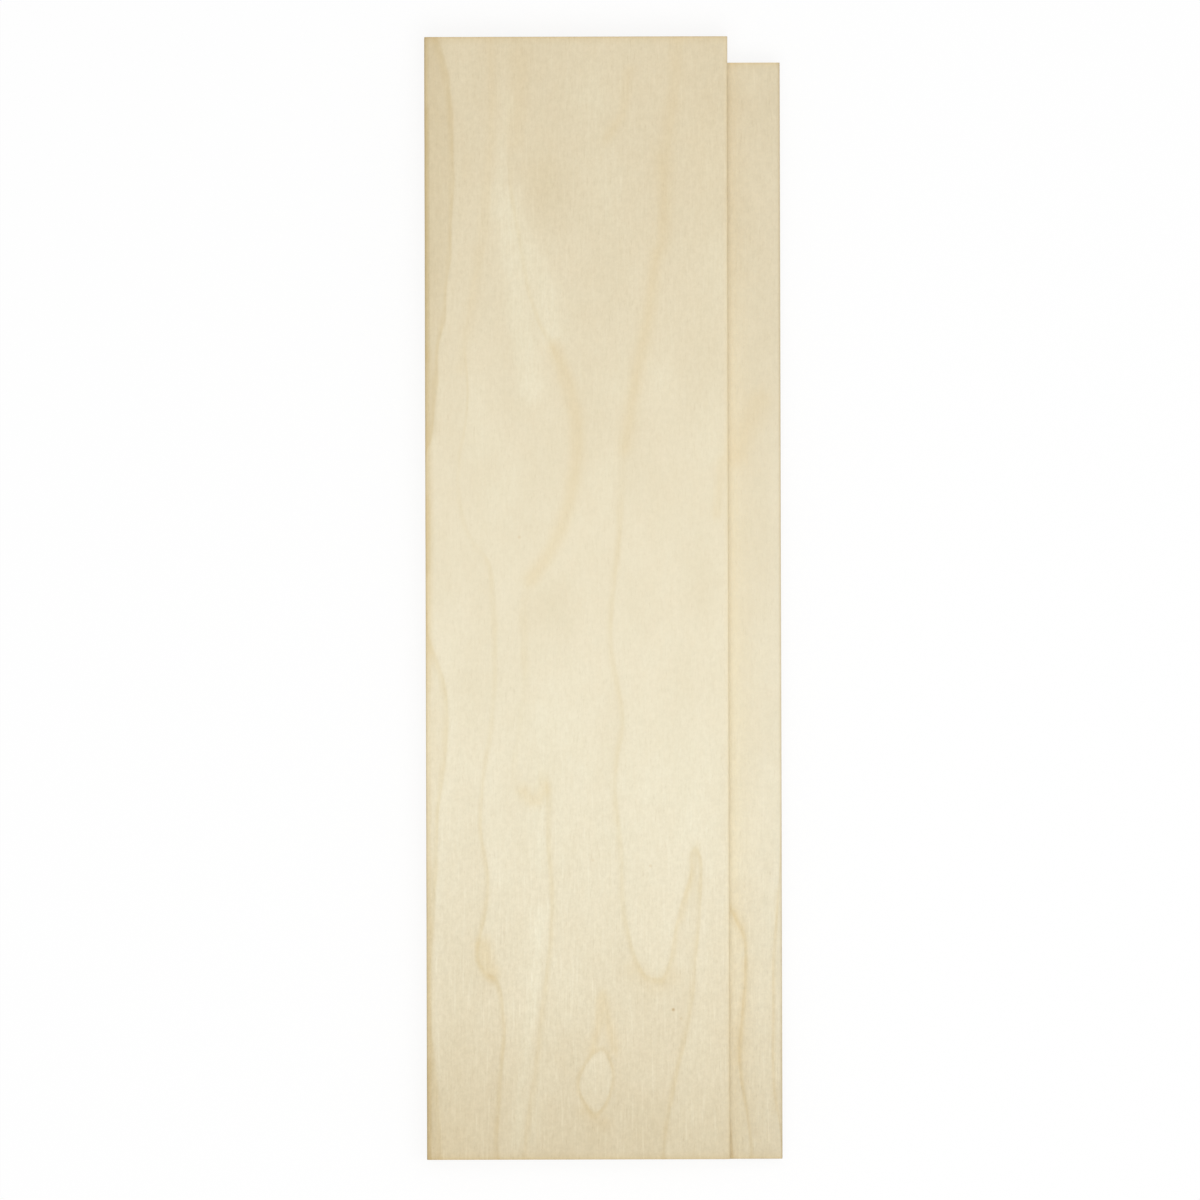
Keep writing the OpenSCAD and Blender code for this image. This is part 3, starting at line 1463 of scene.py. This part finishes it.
@dataclass
class TongueAndGrooveBoard:
    """The board itself, swept from its section and dressed as one piece of wood.

    Attributes:
        sizes: Sizes of the board.
        growth: Growth field of the wood.
        wear: Wear of the arrises.
        column: Width of the mesh's columns in millimetres.
        edge_column: Width of the first column beside the groove edge, which holds its thin dark line.
        row: Length of the mesh's rows in millimetres.
        margin: Length of the narrow row at each sawn end.
        end_segments: Segments of the bevel round the sawn ends.
        strip_corners: Most corners of a face along the board, where the whole ends have more.
        root: Distance from the shoulder at which the tongue's own end starts to count.
        sharp_angle: Angle in degrees above which an edge is shaded as sharp.
    """

    sizes: BoardSizes
    growth: GrowthField
    wear: ArrisWear = ArrisWear()
    column: float = 1.0
    edge_column: float = 1.1
    row: float = 1.5
    margin: float = 0.7
    end_segments: int = 2
    strip_corners: int = 8
    root: float = 0.1
    sharp_angle: float = 40.0

    def build(self) -> bpy.types.Object:
        """Makes the board's object.

        Returns:
            The new object, at the origin.
        """
        bm = bmesh.new()
        self._draw_section(bm)
        self._sweep(bm)
        self._close_ends(bm)
        self._sort_surfaces(bm)
        mesh = new_mesh(PIECE, bm)
        self._grow(mesh)
        mesh.set_sharp_from_angle(angle=math.radians(self.sharp_angle))
        board = new_object(PIECE, mesh)
        even = board.modifiers.new("even_shading", "WEIGHTED_NORMAL")
        even.keep_sharp = True
        return board

    def dress(self, board: bpy.types.Object, effects: WoodEffects) -> None:
        """Gives the board its finishes and joins it to the frame.

        Args:
            board: Object of the board.
            effects: Node groups that the finishes share.
        """
        for surface in Surface:
            board.data.materials.append(FINISHES[surface].build(effects))
        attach(board, BODY)
        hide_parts(NODE)

    def _planes(self) -> list[float]:
        """Lists the planes between the mesh's columns.

        Returns:
            Place of each plane across the board, in metres.
        """
        reach = int(self.sizes.width / 2 / self.column)
        columns = [step * self.column for step in range(-reach, reach + 1)]
        columns.append(self.sizes.groove_edge + self.edge_column)
        return [place * MM for place in columns]

    def _draw_section(self, bm: bmesh.types.BMesh) -> None:
        """Draws the section as a wire at the -Y end, with its corners cut and its columns marked.

        Args:
            bm: Mesh to draw in.
        """
        start = -self.sizes.length / 2 * MM
        corners = [(bm.verts.new((x * MM, start, z * MM)), cut) for x, z, cut in self.sizes.corners()]
        bm.faces.new([corner for corner, _ in corners])
        for kind, size in self.sizes.cuts.items():
            bevel(bm, [corner for corner, cut in corners if cut is kind], size, "VERTICES", kind.value)
        bmesh.ops.delete(bm, geom=bm.faces[:], context="FACES_ONLY")
        for plane in self._planes():
            split(bm, bm.verts[:] + bm.edges[:], plane)

    def _sweep(self, bm: bmesh.types.BMesh) -> None:
        """Sweeps the section along the board, without the tongue over its stopped length.

        Args:
            bm: Mesh that holds the section's wire.
        """
        sizes = self.sizes
        run = sizes.length - sizes.tongue_stop - 2 * self.margin
        edges = self._advance(bm, bm.edges[:], self.margin)
        edges = self._advance(bm, edges, run)
        edges = self._advance(bm, edges, self.margin)
        shoulder = sizes.shoulder * MM + WELD
        body = [edge for edge in edges if max(vert.co.x for vert in edge.verts) <= shoulder]
        body.append(bm.edges.new(self._roots(edges)))
        body = self._advance(bm, body, sizes.tongue_stop - self.margin)
        self._advance(bm, body, self.margin)
        for reach in (run, sizes.tongue_stop - self.margin):
            long_edges = [edge for edge in bm.edges if self._runs(edge, reach)]
            cuts = round(reach / self.row) - 1
            bmesh.ops.subdivide_edges(bm, edges=long_edges, cuts=cuts)

    @staticmethod
    def _advance(
        bm: bmesh.types.BMesh, edges: list[bmesh.types.BMEdge], distance: float
    ) -> list[bmesh.types.BMEdge]:
        """Extrudes edges along the board.

        Args:
            bm: Mesh that holds them.
            edges: Edges to extrude.
            distance: How far, in millimetres.

        Returns:
            The new edges at the far end.
        """
        made = bmesh.ops.extrude_edge_only(bm, edges=edges)["geom"]
        verts = [part for part in made if isinstance(part, bmesh.types.BMVert)]
        bmesh.ops.translate(bm, verts=verts, vec=(0, distance * MM, 0))
        return [part for part in made if isinstance(part, bmesh.types.BMEdge)]

    def _roots(self, edges: list[bmesh.types.BMEdge]) -> list[bmesh.types.BMVert]:
        """Finds the two corners where the tongue leaves the shoulder.

        Args:
            edges: Edges of the section.

        Returns:
            The lower and the upper corner.
        """
        verts = {vert for edge in edges for vert in edge.verts}
        found = []
        for height in (self.sizes.tongue_bottom, self.sizes.tongue_top):
            corner = Vector((self.sizes.shoulder * MM, height * MM))
            found.append(min(verts, key=lambda vert: (vert.co.xz - corner).length))
        return found

    @staticmethod
    def _runs(edge: bmesh.types.BMEdge, reach: float) -> bool:
        """Tells whether an edge runs along the board over a given length."""
        return abs(abs(edge.verts[0].co.y - edge.verts[1].co.y) - reach * MM) < WELD

    def _close_ends(self, bm: bmesh.types.BMesh) -> None:
        """Closes the sawn ends, eases their arrises and cuts them into the mesh's columns.

        Args:
            bm: Mesh of the open sweep.
        """
        before = set(bm.faces)
        bmesh.ops.holes_fill(bm, edges=[edge for edge in bm.edges if edge.is_boundary], sides=0)
        ends = [face for face in bm.faces if face not in before]
        bmesh.ops.recalc_face_normals(bm, faces=bm.faces[:])
        last_row = (self.sizes.length / 2 - self.margin) * MM
        sawn = [face for face in ends if abs(face.calc_center_median().y) > last_row]
        rim = [edge for face in sawn for edge in face.edges]
        bevel(bm, rim, self.sizes.end_ease, "EDGES", self.end_segments)
        faces = [face for face in bm.faces if len(face.verts) > self.strip_corners]
        geom = faces + list(dict.fromkeys(edge for face in faces for edge in face.edges))
        geom += list(dict.fromkeys(vert for face in faces for vert in face.verts))
        for plane in self._planes():
            geom = split(bm, geom, plane)

    def _sort_surfaces(self, bm: bmesh.types.BMesh) -> None:
        """Gives each face the material slot of its surface, by its place and the way it faces.

        Args:
            bm: Mesh of the closed board.
        """
        bm.normal_update()
        for face in bm.faces:
            across, along, up = (abs(part) for part in face.normal)
            surface = Surface.PLANED
            if along > max(across, up):
                surface = Surface.SAWN
            elif across > up:
                surface = Surface.MOULDED
            elif face.calc_center_median().x > self.sizes.shoulder * MM:
                surface = Surface.TONGUE
            face.material_index = surface.value
            face.smooth = True

    def _grow(self, mesh: bpy.types.Mesh) -> None:
        """Wears the arrises and writes the wood's numbers to the mesh's points.

        Args:
            mesh: Mesh of the board.
        """
        flat = np.empty(len(mesh.vertices) * 3)
        mesh.vertices.foreach_get("co", flat)
        points = flat.reshape(-1, 3) / MM
        plan = points[:, :2]
        depth = self.sizes.thickness - points[:, 2]
        arris = self._arris(points)
        layers = {
            "growth": self.growth.at(plan),
            "bold": self.growth.boldness(plan),
            **{name: tone.at(plan, depth) for name, tone in FACE_TONES.items()},
            "arris": arris,
            "saw_line": np.exp(-((self._to_end(points) / self.margin) ** 2)),
        }
        for name, values in layers.items():
            layer = mesh.attributes.new(name, "FLOAT", "POINT")
            layer.data.foreach_set("value", values.astype(np.float32))
        mesh.vertices.foreach_set("co", (self._worn(points, arris) * MM).ravel())
        mesh.update()

    def _arris(self, points: np.ndarray) -> np.ndarray:
        """Measures how close points lie to an arris.

        Args:
            points: Points as rows in millimetres.

        Returns:
            1 on an arris, falling to 0 beside it.
        """
        nearest = self._to_end(points) + self.wear.end_set
        for x, z, cut in self.sizes.corners():
            if cut in (CornerCut.EASED, CornerCut.NOSE):
                nearest = np.minimum(nearest, np.hypot(points[:, 0] - x, points[:, 2] - z))
        return np.exp(-((nearest / self.wear.reach) ** 2))

    def _to_end(self, points: np.ndarray) -> np.ndarray:
        """Measures how far points lie from the nearer end, or from the tongue's stopped end.

        Args:
            points: Points as rows in millimetres.

        Returns:
            Distance of each point along the board.
        """
        to_end = self.sizes.length / 2 - np.abs(points[:, 1])
        to_stop = self.sizes.length / 2 - self.sizes.tongue_stop - points[:, 1]
        on_tongue = points[:, 0] > self.sizes.shoulder + self.root
        return np.where(on_tongue, np.minimum(to_end, np.abs(to_stop)), to_end)

    def _worn(self, points: np.ndarray, arris: np.ndarray) -> np.ndarray:
        """Wears the arrises towards the middle of the section.

        Args:
            points: Points as rows in millimetres.
            arris: Share of arris at each point.

        Returns:
            The moved points.
        """
        moved = points.copy()
        middle = np.array((0.0, 0.0, self.sizes.thickness / 2))
        for index in np.flatnonzero(arris > self.wear.least):
            place = points[index]
            pull = np.sign(middle - place) * (1.0, 0.0, 1.0)
            moved[index] += pull * arris[index] * self.wear.at(place)
        return moved


@dataclass
class Studio:
    """Camera, lamp, surround and floor.

    Attributes:
        lens: Focal length in millimetres.
        sensor: Width of the sensor in millimetres.
        view_width: Width of the picture at the height of the face, in millimetres.
        aim: Where the picture's middle falls on the board, in millimetres.
        lean: Turn of the camera, in degrees.
        lamp_height: Height of the lamp over the floor in metres.
        lamp_size: Side of the lamp in metres.
        lamp_power: Power of the lamp in watts.
        lamp_place: Place of the lamp across and along the board in metres.
        fill: Strength of the surround's light.
        floor_size: Side of the floor in metres.
        floor_drop: Room between the board and the floor in millimetres.
        floor_paper: Colour of the floor.
        floor_white: Strength of the plain white that the camera sees.
        floor_glow: Share of plain white in what the camera sees of the floor.
    """

    lens: float = 1200.0
    sensor: float = 36.0
    view_width: float = 320.6
    aim: Point = (-0.9, -0.53)
    lean: float = -0.153
    lamp_height: float = 1.0
    lamp_size: float = 0.6
    lamp_power: float = 5.2
    lamp_place: Point = (0.085, -0.1)
    fill: float = 0.5
    floor_size: float = 6.0
    floor_drop: float = 0.2
    floor_paper: Colour = (0.9, 0.9, 0.9, 1.0)
    floor_white: float = 1.02
    floor_glow: float = 0.86

    def build(self, sizes: BoardSizes) -> None:
        """Sets up the studio round the board.

        Args:
            sizes: Sizes of the board.
        """
        bpy.context.scene.view_settings.view_transform = "Standard"
        self._camera(sizes)
        self._lamp()
        self._surround()
        self._floor()

    def _camera(self, sizes: BoardSizes) -> None:
        """Hangs the camera straight over the board.

        Args:
            sizes: Sizes of the board.
        """
        data = bpy.data.cameras.new("camera")
        data.lens = self.lens
        data.sensor_width = self.sensor
        camera = new_object("camera", data)
        distance = self.view_width * self.lens / self.sensor
        camera.location = (self.aim[0] * MM, self.aim[1] * MM, (sizes.thickness + distance) * MM)
        camera.rotation_euler = (0.0, 0.0, math.radians(self.lean))
        bpy.context.scene.camera = camera

    def _lamp(self) -> None:
        """Hangs one soft square lamp over the board."""
        data = bpy.data.lights.new("soft_lamp", "AREA")
        data.shape = "SQUARE"
        data.size = self.lamp_size
        data.energy = self.lamp_power
        lamp = new_object("soft_lamp", data)
        lamp.location = (*self.lamp_place, self.lamp_height)
        lamp.rotation_euler = (-Vector(lamp.location)).to_track_quat("-Z", "Y").to_euler()
        lamp.visible_camera = False

    @staticmethod
    def _seen(wiring: Wiring) -> Socket:
        """Tells rays that see the background from rays that light the object.

        Args:
            wiring: Wiring of the background's own material.

        Returns:
            1 for a ray that sees it, else 0.
        """
        rays = wiring.node("ShaderNodeLightPath")
        seen = wiring.math("MAXIMUM", rays.outputs["Is Camera Ray"], rays.outputs["Is Glossy Ray"])
        return wiring.math("MAXIMUM", seen, rays.outputs["Is Transmission Ray"])

    def _surround(self) -> None:
        """Lights the board weakly from all round, and shows white behind it."""
        world = bpy.data.worlds.new("surround")
        world.use_nodes = True
        bpy.context.scene.world = world
        wiring = Wiring(world.node_tree)
        background = world.node_tree.nodes["Background"]
        wiring.feed(background.inputs["Color"], WHITE)
        strength = wiring.span(self._seen(wiring), 0.0, 1.0, self.fill, 1.0)
        wiring.feed(background.inputs["Strength"], strength)

    def _floor(self) -> None:
        """Lays a plain pale floor that keeps a faint shadow."""
        bm = bmesh.new()
        bmesh.ops.create_grid(bm, x_segments=1, y_segments=1, size=self.floor_size / 2)
        bmesh.ops.translate(bm, verts=bm.verts[:], vec=(0, 0, -self.floor_drop * MM))
        floor = new_object("floor", new_mesh("floor", bm))
        material, wiring = new_material("floor_paper")
        paper = wiring.node("ShaderNodeBsdfDiffuse")
        wiring.feed(paper.inputs["Color"], self.floor_paper)
        white = wiring.node("ShaderNodeEmission")
        wiring.feed(white.inputs["Strength"], self.floor_white)
        glow = wiring.times(self._seen(wiring), self.floor_glow)
        mix = wiring.node("ShaderNodeMixShader")
        wiring.fed(mix, glow, paper.outputs["BSDF"], white.outputs["Emission"])
        output = wiring.node("ShaderNodeOutputMaterial")
        wiring.feed(output.inputs["Surface"], mix.outputs["Shader"])
        floor.data.materials.append(material)


def main() -> None:
    """Builds the board and the studio round it."""
    logging.basicConfig(level=logging.INFO, format="%(name)s: %(message)s")
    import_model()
    sizes = BoardSizes.of_node(NODE)
    growth = GrowthField()
    board = TongueAndGrooveBoard(sizes, growth)
    piece = board.build()
    board.dress(piece, WoodEffects(sizes, growth))
    log.info("%s: %d faces", piece.name, len(piece.data.polygons))
    Studio().build(sizes)
    log.info("studio: camera, lamp, surround and floor")


if __name__ == "__main__":
    main()
